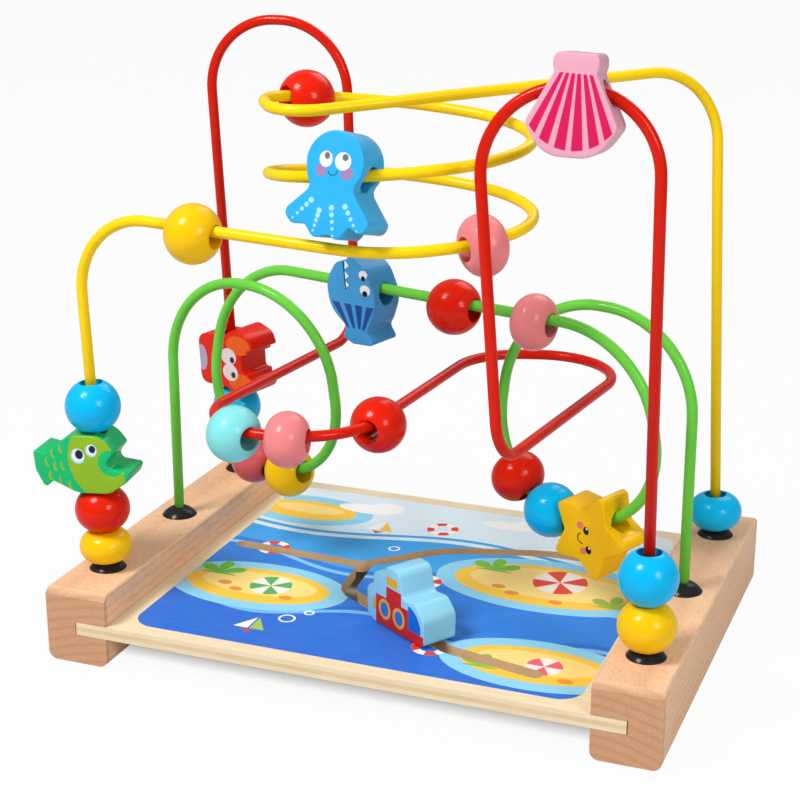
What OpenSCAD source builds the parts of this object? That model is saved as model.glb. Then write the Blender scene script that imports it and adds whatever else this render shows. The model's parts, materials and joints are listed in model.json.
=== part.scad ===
/* [Base] */
// Overall width of the base, over both rails
base_w = 283; // [270:1:300]
// Length of each rail, front to back
rail_l = 200; // [190:1:220]
// Width of each rail
rail_w = 30; // [26:1:36]
// Height of each rail
rail_h = 35; // [33:1:40]
// Rounding of the rails' lower long edges
rail_foot_r = 4; // [2:0.5:6]
// Rounding of the rails' upper long edges
rail_top_r = 1.5; // [1:0.5:3]
// Chamfer across the rails' upper ends
rail_end_chamfer = 3; // [1:0.5:5]
// Thickness of the plywood panel
panel_t = 6; // [5:0.5:8]
// Height of the panel's underside above the table
panel_z = 14; // [10:1:16]
// Depth of the groove that holds the panel
groove_depth = 15.5; // [10:0.5:18]
// Width of the slot that the boat runs in
slot_w = 7.5; // [7:0.5:9]

/* [Wires] */
// Diameter of the coated steel wires
wire_d = 4.8; // [4:0.1:5.2]
// Bend radius of the arches, the turns and the post tops
arch_r = 34; // [30:0.5:34]
// Bend radius of the round loops
loop_r = 44; // [38:1:44]
// Bend radius where an arch leg turns into the zigzag
nook_r = 18; // [12:1:22]
// Depth to which each wire end is driven into its rail
wire_seat = 18; // [12:1:24]
// Distance of the outer posts from the middle post
post_pitch = 70; // [65:1:75]
// Height of the arches over the table, front then back
arch_top = [266, 270]; // [240:1:290]
// Height of the zigzag
zigzag_z = 113; // [105:1:120]
// Heights of the round loops, lower then upper
loop_z = [65, 159]; // [60:1:165]

/* [Coil] */
// Half length and half depth of the coil's oval
coil_size = [56, 41]; // [36:1:60]
// Turn of the oval, seen from above
coil_turn = 12; // [0:1:20]
// Rise of one turn
coil_pitch = 31; // [28:1:36]
// Number of full turns
coil_turns = 2; // [2]

/* [Beads] */
// Diameter of the round beads
bead_d = 25; // [23:0.5:26]
// Bore of the beads and figures
bead_bore = 10.5; // [9:0.5:11]
// Flat ring left round each bead's mouth
bead_lip = 0.6; // [0.4:0.1:1]
// Thickness of the flat figures
figure_t = 19; // [17:0.5:20]
// Gap between neighbours on one wire
bead_gap = 0.4; // [0.3:0.1:0.6]
// Sag of a bead or figure below a level wire
hang = 2.4; // [0:0.1:2.5]

/* [Boat] */
// Thickness of the boat
boat_t = 18; // [16:0.5:20]
// Diameter of the peg in the slot
peg_d = 6.4; // [6:0.1:6.6]
// Diameter of the keeper disc below the panel
keeper_d = 18; // [14:1:22]

/* [Hidden] */
$fn = 48;

// The fish reaches past the left rail, so the base sits this far right of the origin
frame_shift = 7;
fit = 0.15;
post_x = base_w / 2 - rail_w / 2;
rail_in = base_w / 2 - rail_w;
panel_top = panel_z + panel_t;

// Paints
beech = [0.87, 0.66, 0.47];
birch = [0.94, 0.87, 0.74];
black = [0.08, 0.08, 0.09];
yellow = [1.0, 0.75, 0.05];
red = [0.85, 0.10, 0.03];
blue = [0.10, 0.70, 0.93];
pink = [0.93, 0.52, 0.53];
rose = [0.82, 0.38, 0.40];
aqua = [0.52, 0.86, 0.87];
steel = [0.72, 0.72, 0.74];

// Points of a circular arc
function arc(c, r, a, b, n = 6) = [for (i = [0:n]) c + r * [cos(a + (b - a) * i / n), sin(a + (b - a) * i / n)]];
function unit(v) = v / norm(v);
function limit(v, a, b) = max(a, min(b, v));

// One rounded corner of an outline, at most as round as its two sides allow
function corner(a, p, b, r) =
    let(
        u = unit(a - p), v = unit(b - p),
        half = acos(limit(u * v, -1, 1)) / 2,
        reach = min(r / tan(half), 0.49 * norm(a - p), 0.49 * norm(b - p)),
        rr = reach * tan(half),
        c = p + unit(u + v) * rr / sin(half),
        s = p + u * reach - c, e = p + v * reach - c,
        from = atan2(s[1], s[0]),
        sweep = atan2(s[0] * e[1] - s[1] * e[0], s * e)
    )
    arc(c, rr, from, from + sweep);
function flat(p) = [p[0], p[1]];
// An outline from corners given as x, y and radius
function rounded(o) = [for (i = [0:len(o) - 1])
    each corner(flat(o[(i + len(o) - 1) % len(o)]), flat(o[i]), flat(o[(i + 1) % len(o)]), o[i][2])];
// An open line from corners given as x, y and radius
function softened(o) = [for (i = [0:len(o) - 1])
    each (i == 0 || i == len(o) - 1) ? [flat(o[i])] : corner(flat(o[i - 1]), flat(o[i]), flat(o[i + 1]), o[i][2])];
function mirrored(o) = [for (i = [len(o) - 1:-1:0]) [o[i][0], -o[i][1], o[i][2]]];

// A wire is a list of corners, each a point and a bend radius
function half_turn(w) = [for (i = [len(w) - 1:-1:0]) [[-w[i][0][0], -w[i][0][1], w[i][0][2]], w[i][1]]];
function backwards(w) = [for (i = [len(w) - 1:-1:0]) w[i]];
function heading(w, i) = unit(w[i + 1][0] - w[i][0]);
function side(a, b) = unit(b - a * (a * b));
function turn(w, i) = acos(limit(heading(w, i - 1) * heading(w, i), -1, 1));
function trim(w, i) = i == 0 || i == len(w) - 1 ? 0 : w[i][1] * tan(turn(w, i) / 2);
function run(w, i) = norm(w[i + 1][0] - w[i][0]) - trim(w, i) - trim(w, i + 1);
// Axis that points into bend i, carried on past it, and the roll from one bend to the next
function inward(w, i) = i == 0 ? side(heading(w, 0), [0, 1, 0])
    : side(heading(w, i - 1), heading(w, i)) * cos(turn(w, i)) - heading(w, i - 1) * sin(turn(w, i));
function roll(w, i) =
    let(z = heading(w, i - 1), x = inward(w, i - 1), n = side(z, heading(w, i)))
    atan2(n * cross(z, x), n * x);
// Straights and bends in order: length, start, direction and, for a bend, its inward side and radius
function stretches(w) = [for (i = [0:len(w) - 2]) each concat(
    [[run(w, i), w[i][0] + heading(w, i) * trim(w, i), heading(w, i)]],
    i == len(w) - 2 ? [] : [[
        w[i + 1][1] * turn(w, i + 1) * PI / 180, w[i + 1][0] - heading(w, i) * trim(w, i + 1),
        heading(w, i), side(heading(w, i), heading(w, i + 1)), w[i + 1][1]
    ]])];
function on_stretch(c, s) = len(c) == 3 ? [c[1] + c[2] * s, c[2]]
    : let(a = s / c[4] * 180 / PI)
    [c[1] + c[4] * (sin(a) * c[2] + (1 - cos(a)) * c[3]), cos(a) * c[2] + sin(a) * c[3]];
// Point and direction of a wire at a distance from its first foot
function spot(list, s, k = 0) = s <= list[k][0] || k == len(list) - 1 ? on_stretch(list[k], s)
    : spot(list, s - list[k][0], k + 1);

// Arch, zigzag and arch again; the zigzag's second half is the first turned half round
zigzag_half = [[[64, -79, zigzag_z], nook_r], [[83, 92, zigzag_z], arch_r], [[5, 69, zigzag_z], arch_r]];
red_line = concat(
    [[[post_x, -post_pitch, rail_h], 0], [[122, -66, arch_top[0]], arch_r], [[50, -74, arch_top[0]], arch_r]],
    zigzag_half, half_turn(zigzag_half),
    [[[-65, 71, arch_top[1]], arch_r], [[-137, 67, arch_top[1]], arch_r], [[-post_x, post_pitch, rail_h], 0]]);
// Post, one full loop and half of the crossing; the other half is turned half round
green_half = [
    [[-post_x, 0, rail_h], 0], [[-126, -1, loop_z[1]], loop_r], [[-39, -21, loop_z[1]], loop_r],
    [[-32, -10, loop_z[0]], loop_r], [[-123, 23, loop_z[0]], loop_r], [[-110, 30, loop_z[1]], loop_r]
];
green_line = concat(green_half, half_turn(green_half));
// Post, coil and post; the coil's corners stand round an oval that rises and drifts to the back
coil_step = 45;
coil_centre = [5, -36, 204];
coil_drift = [-3, 6, coil_pitch];
function coil_corner(t) =
    let(q = [coil_size[0] * cos(t), coil_size[1] * sin(t)] / cos(coil_step / 2), c = cos(coil_turn), s = sin(coil_turn))
    coil_centre + coil_drift * t / 360 + [q[0] * c - q[1] * s, q[0] * s + q[1] * c, 0];
yellow_points = concat(
    [[-post_x, -post_pitch, rail_h], [-134, -69, 201]],
    [for (t = [-90:coil_step:360 * coil_turns - 180]) coil_corner(t)],
    [[-34, -73, 249], [115, 72, 258], [post_x, post_pitch, rail_h]]);
yellow_last = len(yellow_points) - 1;
function snug(p, i) =
    let(a = p[i] - p[i - 1], b = p[i + 1] - p[i])
    0.49 * min(norm(a), norm(b)) / tan(acos(unit(a) * unit(b)) / 2);
yellow_line = [for (i = [0:yellow_last])
    [yellow_points[i],
        i == 0 || i == yellow_last ? 0 : i == 1 || i == yellow_last - 1 ? arch_r : snug(yellow_points, i)]];

yellow_run = stretches(yellow_line);
red_run = stretches(red_line);
green_run = stretches(green_line);
function full(list) = [for (c = list) c[0]] * [for (c = list) 1];
yellow_end = full(yellow_run);
red_end = full(red_run);

// Collars are low domes; the lowest bead on a post rests on the dome's flank
collar_d = 17;
collar_h = 4.5;
collar_bore = 5.8;
collar_r = (pow(collar_d / 2, 2) + pow(collar_h, 2)) / (2 * collar_h);
stack_foot = 3.4;

// Lengths of the beads along their bores
low_bead_h = 15;
mid_bead_h = 20;
tall_bead_h = 22;
ring_bead_h = 17;
fish_h = 27;
crab_h = 27;
stack_1 = stack_foot + low_bead_h / 2;
stack_2 = stack_1 + (low_bead_h + mid_bead_h) / 2 + bead_gap;
stack_3 = stack_2 + (mid_bead_h + fish_h) / 2 + bead_gap;
stack_4 = stack_3 + (fish_h + tall_bead_h) / 2 + bead_gap;
front_1 = stack_foot + mid_bead_h / 2;
front_2 = front_1 + (mid_bead_h + tall_bead_h) / 2 + bead_gap;
crab_1 = stack_foot + mid_bead_h / 2;
crab_2 = crab_1 + (mid_bead_h + tall_bead_h) / 2 + bead_gap;
// The crab stands on its claws, a little above the bead's mouth
crab_lift = 2;
crab_3 = crab_2 + (tall_bead_h + crab_h) / 2 + bead_gap + crab_lift;

// Outlines of the figures, drawn as they face the player, with the bore at the origin
fish_outline = [
    [-27, 6.5, 1.2], [-20.5, 5, 1], [-10, 13.6, 16], [6, 13.6, 9], [11.5, 6, 1.3], [5.5, -1.5, 3.5],
    [18.5, -3.5, 1.3], [16.5, -8, 3], [8, -13.6, 9], [-7, -13.6, 14], [-18.5, -8, 1.2], [-22.5, -11.5, 1.5],
    [-26.5, -3, 6]
];
octopus_outline = [
    [-5.3, 19.5, 12.6], [5.3, 19.5, 12.6], [12.8, 12, 12.6], [12.8, 1.5, 12], [7.4, -4.5, 4], [15.4, -18.4, 3],
    [11.6, -23, 3], [6, -19, 1.8], [1, -24.7, 2.5], [-3.5, -21.8, 1.8], [-10.2, -23, 3.2], [-14, -17, 2.4],
    [-20, -17, 3.4], [-23.8, -11.6, 3.4], [-11, -2.4, 3.5], [-12.8, 2.5, 12], [-12.8, 12, 12.6]
];
whale_outline = [
    [-1, 18.6, 1.2], [9, 11, 14], [15, -2, 14], [11, -13.5, 10], [9, -16.8, 3], [13.5, -23, 1.5],
    [1, -23.6, 3], [-5, -20.8, 1.5], [-2.4, -16, 3], [-12, -8, 14], [-14.4, 4.5, 12], [-8.5, 14, 5],
    [-2.8, 14.9, 1]
];
shell_half = [[14.5, 8.4, 3.6], [10, 9, 3], [7, 8.2, 2.5], [-12.5, 18.2, 4], [-24.5, 10.5, 14]];
shell_outline = concat([for (p = shell_half) [p[1], p[0], p[2]]],
    [for (p = mirrored(shell_half)) [p[1], p[0], p[2]]]);
star_tip = 22.5;
star_notch = 12.4;
star_drop = star_notch * sin(18);
star_outline = [for (i = [0:9])
    let(r = i % 2 == 0 ? star_tip : star_notch, a = 36 * i - 90)
    [r * cos(a), r * sin(a) - star_drop, i % 2 == 0 ? 2.5 : 3]];
crab_half = [
    [-15, 13.5, 5], [2, 13.5, 1.5], [11, 18.5, 6], [20.5, 14.5, 6], [23, 7.5, 1.2], [18.5, 8, 1], [18.5, 5, 1],
    [14.5, 4.8, 1.8]
];
crab_outline = concat(crab_half, mirrored(crab_half));
boat_outline = [
    [-16, 0, 1], [-21, 2, 3], [-21.5, 15.5, 4], [-16.5, 18.5, 1.5], [-16.5, 24.5, 3], [-8, 25, 1.5],
    [-7, 30, 3.5], [3, 30, 4], [5.5, 18, 3], [15, 19, 5], [21, 13, 5], [20.5, 1, 3], [17, 0, 1]
];

// Slot in the panel: one line from left to right, and the branch that the boat runs in
slot_main = [[-96, 9, 0], [-32, 6, 12], [0, 37, 40], [50, 52, 60], [100, 50, 0]];
slot_branch = [[-30, 8, 0], [-27, -24, 14], [37, -65, 30], [80, -74, 0]];
boat_at = [16, -51.5];
boat_yaw = atan2(slot_branch[2][1] - slot_branch[1][1], slot_branch[2][0] - slot_branch[1][0]);
boat_lift = 0.3;
peg_sunk = 12;
keeper_t = 4;
keeper_drop = 0.5;

module framed() {
    translate([frame_shift, 0, 0]) children();
}

// A bend is a hair thicker than the straights, which end inside it
bend_swell = 0.05;
straight_lap = 0.3;
module bend(r, angle) {
    translate([r, 0, 0]) rotate([90, 0, 0])
        rotate_extrude(angle = angle, start = 180 - angle) translate([r, 0]) circle(d = wire_d + bend_swell);
}
module wire_from(w, i) {
    first = i == 0 ? wire_seat - 1 : straight_lap;
    last = i == len(w) - 2 ? wire_seat - 1 : straight_lap;
    translate([0, 0, -first]) cylinder(d = wire_d, h = run(w, i) + first + last);
    if (i < len(w) - 2) {
        r = w[i + 1][1];
        a = turn(w, i + 1);
        translate([0, 0, run(w, i)]) rotate([0, 0, roll(w, i + 1)]) {
            bend(r, a);
            translate([r * (1 - cos(a)), 0, r * sin(a)]) rotate([0, a, 0]) wire_from(w, i + 1);
        }
    }
}
module facing(o, x, y, z) {
    multmatrix([[x[0], y[0], z[0], o[0]], [x[1], y[1], z[1], o[1]], [x[2], y[2], z[2], o[2]], [0, 0, 0, 1]]) children();
}
// The first foot of a wire, with the wire along Z
module at_foot(w) {
    z = heading(w, 0);
    x = inward(w, 0);
    facing(w[0][0], x, cross(z, x), z) children();
}
module wire(w) {
    framed() at_foot(w) wire_from(w, 0);
}
// Puts a drilled piece on a wire, X along its bore, Y up or, on a post, to the left
module thread(list, s, sag = 0, spin = 0) {
    p = spot(list, s);
    post = abs(p[1][2]) > 0.9;
    x = p[1] * sign(post ? p[1][2] : p[1][0]);
    y = side(x, post ? [-1, 0, 0] : [0, 0, 1]);
    framed() facing(p[0], x, y, cross(x, y)) rotate([spin, 0, 0]) translate([0, -sag, 0]) children();
}

// A turned bead: one round from mouth to mouth, with its bore along X
module bead(d, h) {
    mouth = bead_bore / 2 + bead_lip;
    c = (pow(d / 2, 2) - pow(mouth, 2) - pow(h / 2, 2)) / (d - 2 * mouth);
    rotate([0, 90, 0]) rotate_extrude() intersection() {
        translate([c, 0]) circle(r = d / 2 - c);
        translate([bead_bore / 2, -h / 2]) square([d, h]);
    }
}
module figure(outline) {
    difference() {
        linear_extrude(figure_t, center = true) polygon(rounded(outline));
        rotate([0, 90, 0]) cylinder(d = bead_bore, h = 80, center = true);
    }
}
// The same, drilled from top to bottom and turned to stand on a post
module standing_figure(outline) {
    difference() {
        rotate([0, 0, -90]) linear_extrude(figure_t, center = true) polygon(rounded(outline));
        rotate([0, 90, 0]) cylinder(d = bead_bore, h = 80, center = true);
    }
}

// The rail's section, seen from the front, with its inner side to the right
rail_outline = [
    [-rail_w / 2, 0, rail_foot_r], [-rail_w / 2, rail_h, rail_top_r],
    [rail_w / 2, rail_h, rail_top_r], [rail_w / 2, 0, rail_foot_r]
];
module rail_block() {
    difference() {
        rotate([90, 0, 0]) linear_extrude(rail_l, center = true) polygon(rounded(rail_outline));
        translate([rail_w / 2 - groove_depth, -rail_l, panel_z - fit])
            cube([rail_w, 2 * rail_l, panel_t + 2 * fit]);
        for (end = [-1, 1])
            translate([0, end * rail_l / 2, rail_h]) rotate([45, 0, 0])
                cube([2 * rail_w, rail_end_chamfer * sqrt(2), rail_end_chamfer * sqrt(2)], center = true);
    }
}
module wire_hole(w) {
    at_foot(w) translate([0, 0, -wire_seat]) cylinder(d = wire_d + 2 * fit, h = 2 * wire_seat);
}
module left_rail() {
    color(beech) framed() difference() {
        translate([-post_x, 0, 0]) rail_block();
        wire_hole(yellow_line);
        wire_hole(green_line);
        wire_hole(backwards(red_line));
    }
}
module right_rail() {
    color(beech) framed() difference() {
        translate([post_x, 0, 0]) rotate([0, 0, 180]) rail_block();
        wire_hole(red_line);
        wire_hole(backwards(green_line));
        wire_hole(backwards(yellow_line));
    }
}

// A slot of even width along a softened line, with round ends
function away(p, i) =
    let(a = p[max(i - 1, 0)], b = p[min(i + 1, len(p) - 1)], d = unit(b - a)) [-d[1], d[0]] * slot_w / 2;
// Points of a round end, without the two that the sides already have
function cap(c, d) =
    let(a = atan2(d[1], d[0]), p = arc(c, slot_w / 2, a + 90, a - 90, 10)) [for (i = [1:9]) p[i]];
module slot(line) {
    p = softened(line);
    last = len(p) - 1;
    translate([0, 0, panel_z - 1]) linear_extrude(panel_t + 2) polygon(concat(
        [for (i = [0:last]) p[i] + away(p, i)], cap(p[last], p[last] - p[last - 1]),
        [for (i = [last:-1:0]) p[i] - away(p, i)], cap(p[0], p[0] - p[1])));
}
module maze_panel() {
    panel_w = 2 * (rail_in + groove_depth) - 1;
    color(birch) framed() difference() {
        translate([-panel_w / 2, -rail_l / 2, panel_z]) cube([panel_w, rail_l, panel_t]);
        slot(slot_main);
        slot(slot_branch);
        for (line = [yellow_line, red_line, green_line]) {
            wire_hole(line);
            wire_hole(backwards(line));
        }
    }
}

module collar(x, y) {
    color(black) framed() translate([x, y, rail_h]) difference() {
        intersection() {
            translate([0, 0, collar_h - collar_r]) sphere(collar_r);
            cylinder(d = collar_d, h = collar_h);
        }
        translate([0, 0, -1]) cylinder(d = collar_bore, h = collar_h + 2);
    }
}
module collar_left_front() { collar(-post_x, -post_pitch); }
module collar_left_middle() { collar(-post_x, 0); }
module collar_left_back() { collar(-post_x, post_pitch); }
module collar_right_front() { collar(post_x, -post_pitch); }
module collar_right_middle() { collar(post_x, 0); }
module collar_right_back() { collar(post_x, post_pitch); }

module yellow_wire() { color([0.97, 0.82, 0.10]) wire(yellow_line); }
module red_wire() { color([0.82, 0.13, 0.04]) wire(red_line); }
module green_wire() { color([0.40, 0.78, 0.30]) wire(green_line); }

// On the yellow wire: the stack by the left front post, the run, the coil and the back post
module stack_yellow_bead() { color(yellow) thread(yellow_run, stack_1) bead(24, low_bead_h); }
module stack_red_bead() { color(red) thread(yellow_run, stack_2) bead(bead_d, mid_bead_h); }
module fish_bead() { color([0.13, 0.78, 0.55]) thread(yellow_run, stack_3, spin = 9) standing_figure(fish_outline); }
module stack_blue_bead() { color(blue) thread(yellow_run, stack_4) bead(bead_d, tall_bead_h); }
module run_yellow_bead() { color(yellow) thread(yellow_run, 209, hang) bead(26, tall_bead_h); }
module coil_pink_bead() { color(pink) thread(yellow_run, 338, 1) bead(26, ring_bead_h); }
module octopus_bead() { color([0.20, 0.68, 0.92]) thread(yellow_run, 591, 1.6, -14) rotate([0, -4, 0]) figure(octopus_outline); }
module coil_red_bead() { color(red) thread(yellow_run, 812, 1) bead(bead_d, tall_bead_h); }
module back_post_blue_bead() {
    color(blue) thread(yellow_run, yellow_end - stack_foot - ring_bead_h / 2) bead(bead_d, ring_bead_h);
}

// On the red wire: the front post, the arch, the zigzag and the crab's post
module front_post_yellow_bead() { color(yellow) thread(red_run, front_1) bead(bead_d, mid_bead_h); }
module front_post_blue_bead() { color(blue) thread(red_run, front_2) bead(bead_d, tall_bead_h); }
module shell_bead() { color([0.88, 0.66, 0.76]) thread(red_run, 249, 1.5, -6) rotate([0, -3, 0]) figure(shell_outline); }
module zigzag_red_bead() { color(red) thread(red_run, 741, hang) bead(25, tall_bead_h); }
module zigzag_pink_bead() { color(pink) thread(red_run, 789, 1.5) bead(24.6, ring_bead_h); }
module zigzag_aqua_bead() { color(aqua) thread(red_run, 815, 2.2) bead(bead_d, mid_bead_h); }
module crab_post_yellow_bead() { color(yellow) thread(red_run, red_end - crab_1) bead(bead_d, mid_bead_h); }
module crab_post_blue_bead() { color(blue) thread(red_run, red_end - crab_2) bead(bead_d, tall_bead_h); }
module crab_bead() { color(red) thread(red_run, red_end - crab_3, spin = -16) standing_figure(crab_outline); }

// On the green wire: the left loop, the crossing and the right loop
module loop_yellow_bead() { color(yellow) thread(green_run, 290, 1) bead(bead_d, mid_bead_h); }
module loop_rose_bead() { color(rose) thread(green_run, 313, 1) bead(bead_d, mid_bead_h); }
module whale_bead() { color([0.28, 0.60, 0.85]) thread(green_run, 488, hang) figure(whale_outline); }
module crossing_red_bead() { color(red) thread(green_run, 539, hang) bead(bead_d, tall_bead_h); }
module crossing_pink_bead() { color(pink) thread(green_run, 581, hang) bead(bead_d, ring_bead_h); }
module star_bead() { color([1.0, 0.78, 0.02]) thread(green_run, 727, 0.8) figure(star_outline); }
module loop_blue_bead() { color(blue) thread(green_run, 752.6, 1) rotate([90, 0, 0]) bead(bead_d, tall_bead_h); }
module loop_red_bead() { color(red) thread(green_run, 775.6, 1) bead(bead_d, mid_bead_h); }

// The boat stands over its slot, with its painted side along it
module on_slot(z) {
    framed() translate([boat_at[0], boat_at[1], z]) rotate([0, 0, boat_yaw]) children();
}
module boat() {
    color([0.55, 0.83, 0.95]) on_slot(panel_top + boat_lift) difference() {
        rotate([90, 0, 0]) linear_extrude(boat_t, center = true) polygon(rounded(boat_outline));
        translate([0, 0, -1]) cylinder(d = peg_d + fit, h = peg_sunk + 1);
    }
}
module boat_peg() {
    foot = panel_z - keeper_drop;
    pilot_d = 2.6;
    color(birch) on_slot(foot) difference() {
        cylinder(d = peg_d, h = panel_top + boat_lift + peg_sunk - 0.5 - foot);
        translate([0, 0, -1]) cylinder(d = pilot_d, h = 13);
    }
}
module boat_keeper() {
    color(birch) on_slot(panel_z - keeper_drop - keeper_t) difference() {
        cylinder(d = keeper_d, h = keeper_t);
        translate([0, 0, -1]) cylinder(d = 3.2, h = keeper_t + 2);
    }
}
module boat_screw() {
    head_h = 1.8;
    color(steel) on_slot(panel_z - keeper_drop - keeper_t - head_h) difference() {
        union() {
            cylinder(d1 = 5, d2 = 6, h = head_h);
            cylinder(d = 2.4, h = head_h + keeper_t + 10);
        }
        for (a = [0, 90]) rotate([0, 0, a]) cube([3.4, 0.8, 2], center = true);
    }
}

left_rail();
right_rail();
maze_panel();
collar_left_front();
collar_left_middle();
collar_left_back();
collar_right_front();
collar_right_middle();
collar_right_back();
yellow_wire();
red_wire();
green_wire();
stack_yellow_bead();
stack_red_bead();
fish_bead();
stack_blue_bead();
run_yellow_bead();
coil_pink_bead();
octopus_bead();
coil_red_bead();
back_post_blue_bead();
front_post_yellow_bead();
front_post_blue_bead();
shell_bead();
zigzag_red_bead();
zigzag_pink_bead();
zigzag_aqua_bead();
crab_bead();
crab_post_blue_bead();
crab_post_yellow_bead();
loop_yellow_bead();
loop_rose_bead();
whale_bead();
crossing_red_bead();
crossing_pink_bead();
star_bead();
loop_blue_bead();
loop_red_bead();
boat();
boat_peg();
boat_keeper();
boat_screw();
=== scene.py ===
# %% [markdown]
# # A bead maze
# Two beech rails hold a printed plywood panel. Three bent, coated wires stand in the rails, and painted
# beads and flat sea figures slide along them. A small boat runs in a slot in the panel. The CAD model gives
# every place and size, so this lesson only has to make the turned, painted and printed surfaces.

# %% [markdown]
# ## The frame
# Loading the frame brings in one object for each CAD node. The box round all of them is kept now, and the
# floor is laid just under it.

# %% Load the frame
import json
import math

import bmesh
import bpy
from mathutils import Matrix, Vector


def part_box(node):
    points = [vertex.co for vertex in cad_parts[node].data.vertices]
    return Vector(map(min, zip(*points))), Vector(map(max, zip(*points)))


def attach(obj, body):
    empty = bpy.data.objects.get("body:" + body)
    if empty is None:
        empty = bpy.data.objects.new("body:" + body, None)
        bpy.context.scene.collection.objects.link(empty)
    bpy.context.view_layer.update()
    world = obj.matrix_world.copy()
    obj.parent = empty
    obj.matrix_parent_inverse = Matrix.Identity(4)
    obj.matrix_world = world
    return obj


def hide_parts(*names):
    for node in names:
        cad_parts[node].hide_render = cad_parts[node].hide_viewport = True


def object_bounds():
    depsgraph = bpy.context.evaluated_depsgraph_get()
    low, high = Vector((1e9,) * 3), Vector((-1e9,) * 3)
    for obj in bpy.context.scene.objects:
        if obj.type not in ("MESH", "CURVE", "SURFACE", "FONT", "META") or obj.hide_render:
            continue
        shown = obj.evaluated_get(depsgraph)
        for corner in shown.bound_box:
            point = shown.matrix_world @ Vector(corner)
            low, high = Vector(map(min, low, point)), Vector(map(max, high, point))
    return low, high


MM = 0.001
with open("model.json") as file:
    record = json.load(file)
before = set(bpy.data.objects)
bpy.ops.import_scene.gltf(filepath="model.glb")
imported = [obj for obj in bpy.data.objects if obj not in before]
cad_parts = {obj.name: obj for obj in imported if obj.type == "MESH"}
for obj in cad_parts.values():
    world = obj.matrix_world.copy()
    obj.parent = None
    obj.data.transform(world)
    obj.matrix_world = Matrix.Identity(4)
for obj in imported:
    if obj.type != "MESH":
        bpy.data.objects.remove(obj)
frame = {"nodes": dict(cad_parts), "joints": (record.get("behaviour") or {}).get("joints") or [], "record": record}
nodes = frame["nodes"]
joints = {joint["child"]: joint for joint in frame["joints"]}
cad_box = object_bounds()
body_of_node = {node: body for body, held in frame["record"]["behaviour"]["bodies"].items() for node in held}

# %% [markdown]
# ## Shader sums
# A finish is easier to read as a sum than as a page of boxes and cords. One class wraps a socket: its
# operators add Math nodes, and its `node` method adds any other node.


# %% A socket that can be added up
class Flow:
    """One output socket of a node tree."""

    def __init__(self, tree, socket):
        self.tree = tree
        self.socket = socket

    def node(self, kind, settings, inputs, out=0):
        made = self.tree.nodes.new(kind)
        for name, value in settings.items():
            setattr(made, name, value)
        for name, value in inputs.items():
            if isinstance(value, Flow):
                self.tree.links.new(value.socket, made.inputs[name])
            else:
                made.inputs[name].default_value = value
        return Flow(self.tree, made.outputs[out])

    def math(self, operation, first, second, clamp=False):
        settings = {"operation": operation, "use_clamp": clamp}
        return self.node("ShaderNodeMath", settings, {0: first, 1: second})

    def __add__(self, other):
        return self.math("ADD", self, other)

    __radd__ = __add__

    def __sub__(self, other):
        return self.math("SUBTRACT", self, other)

    def __rsub__(self, other):
        return self.math("SUBTRACT", other, self)

    def __mul__(self, other):
        return self.math("MULTIPLY", self, other)

    __rmul__ = __mul__

    def __truediv__(self, other):
        return self.math("DIVIDE", self, other)

    def __pow__(self, power):
        return self.math("POWER", self, power)

    def along(self, axis):
        """The part of a point that lies along an axis."""
        settings = {"operation": "DOT_PRODUCT"}
        return self.node("ShaderNodeVectorMath", settings, {0: self, 1: tuple(axis)}, out=1)

    def sine(self):
        return self.math("SINE", self, 0.0)

    def size(self):
        return self.math("ABSOLUTE", self, 0.0)

    def lower(self, other):
        return self.math("MINIMUM", self, other)

    def higher(self, other):
        return self.math("MAXIMUM", self, other)

    def inside(self, blur=0.2):
        """1 where a distance is above 0, 0 where it is below, with a soft edge."""
        return self.math("ADD", self / blur, 0.5, clamp=True)

    def mix(self, first, second):
        """The first colour where this mask is 0, the second where it is 1."""
        return self.node("ShaderNodeMix", {"data_type": "RGBA"}, {0: self, 6: first, 7: second}, out=2)

    def noise(self, scale, detail=2.0):
        """Soft random values from 0 to 1 over the points of this flow."""
        return self.node("ShaderNodeTexNoise", {}, {"Vector": self, "Scale": scale, "Detail": detail})

    def stretched(self, scale):
        """The same points, scaled along each axis."""
        return self.node("ShaderNodeMapping", {}, {"Vector": self, "Scale": scale})


# %% [markdown]
# ## A fresh finish
# Every finish starts the same way: a new material, its one shader, and Object coordinates, which stay with a
# piece when it moves. Colours are written as they look on screen, because that is how one picks them.
# A shader mixes light instead, so `ink` turns them into light values first.

# %% Colours and new materials
base_shine = 0.1
coat_roughness = 0.06


def ink(red, green, blue):
    """A colour as it looks on screen, turned into the light values that a shader mixes."""
    def linear(value):
        return value / 12.92 if value <= 0.04045 else ((value + 0.055) / 1.055) ** 2.4
    return (linear(red), linear(green), linear(blue), 1.0)


def new_finish(name, roughness, coat=0.0):
    """A fresh material, its shader and its Object coordinates."""
    material = bpy.data.materials.new(name)
    material.use_nodes = True
    shader = material.node_tree.nodes["Principled BSDF"]
    shader.inputs["Roughness"].default_value = roughness
    shader.inputs["Coat Weight"].default_value = coat
    shader.inputs["Coat Roughness"].default_value = coat_roughness
    shader.inputs["Specular IOR Level"].default_value = base_shine
    coords = material.node_tree.nodes.new("ShaderNodeTexCoord")
    return material, shader, Flow(material.node_tree, coords.outputs["Object"])


def feed(flow, shader, name):
    """Links a flow to one of a shader's sockets."""
    flow.tree.links.new(flow.socket, shader.inputs[name])


def feed_bump(height, shader, strength, distance):
    """Lets a flow of heights bend a shader's reflections."""
    settings = {"Strength": strength, "Distance": distance, "Height": height}
    feed(height.node("ShaderNodeBump", {}, settings), shader, "Normal")


# %% [markdown]
# ## Lacquer
# The beads are turned wood under thick gloss paint. It pools a little, so the colour and the sheen drift
# slowly over a bead, and a faint ripple bends the reflections. The wires have a thinner, harder coat.

# %% Gloss paint and wire coating
pool_scale = 60.0
ripple_scale = 220.0
ripple_height = 1 * MM
sheen_swing = 0.12


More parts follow.
